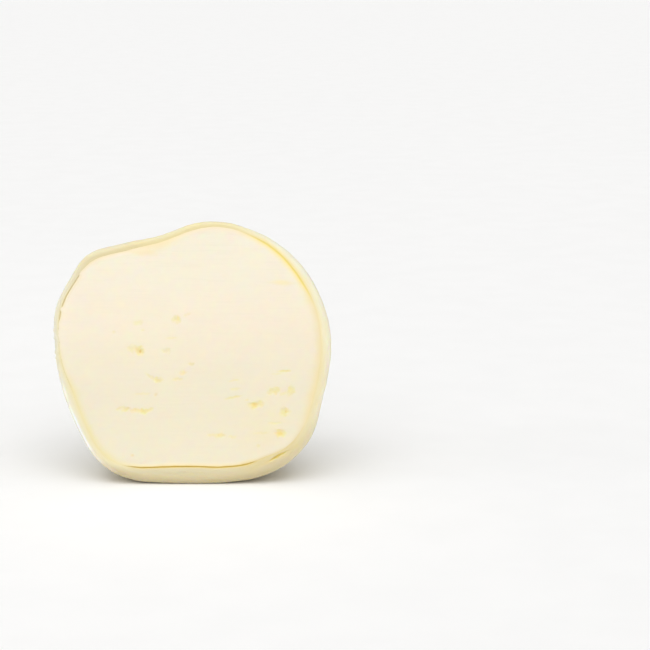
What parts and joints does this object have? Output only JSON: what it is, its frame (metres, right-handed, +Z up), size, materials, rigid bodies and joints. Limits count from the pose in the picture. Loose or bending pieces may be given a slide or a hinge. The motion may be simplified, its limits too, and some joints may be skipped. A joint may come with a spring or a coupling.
{
  "type": "manteca cheese half",
  "caption": "Half of a round butter-filled cheese: a thin casing of stretched curd round a solid butter core, cut through upright and standing on its sole.",
  "frame": {"origin": "middle of the bounding box's foot, on the plane that the half stands on", "axes": "+X to the right across the cut face, -Y out of the cut face, which leans back by 6 degrees, +Z up"},
  "size_m": [0.112, 0.06, 0.1068],
  "materials": {
    "stretched_curd": "moist satin",
    "butter": "waxy matte"
  },
  "bodies": {
    "root": {"casing": "stretched_curd", "butter": "butter"}
  },
  "joints": []
}
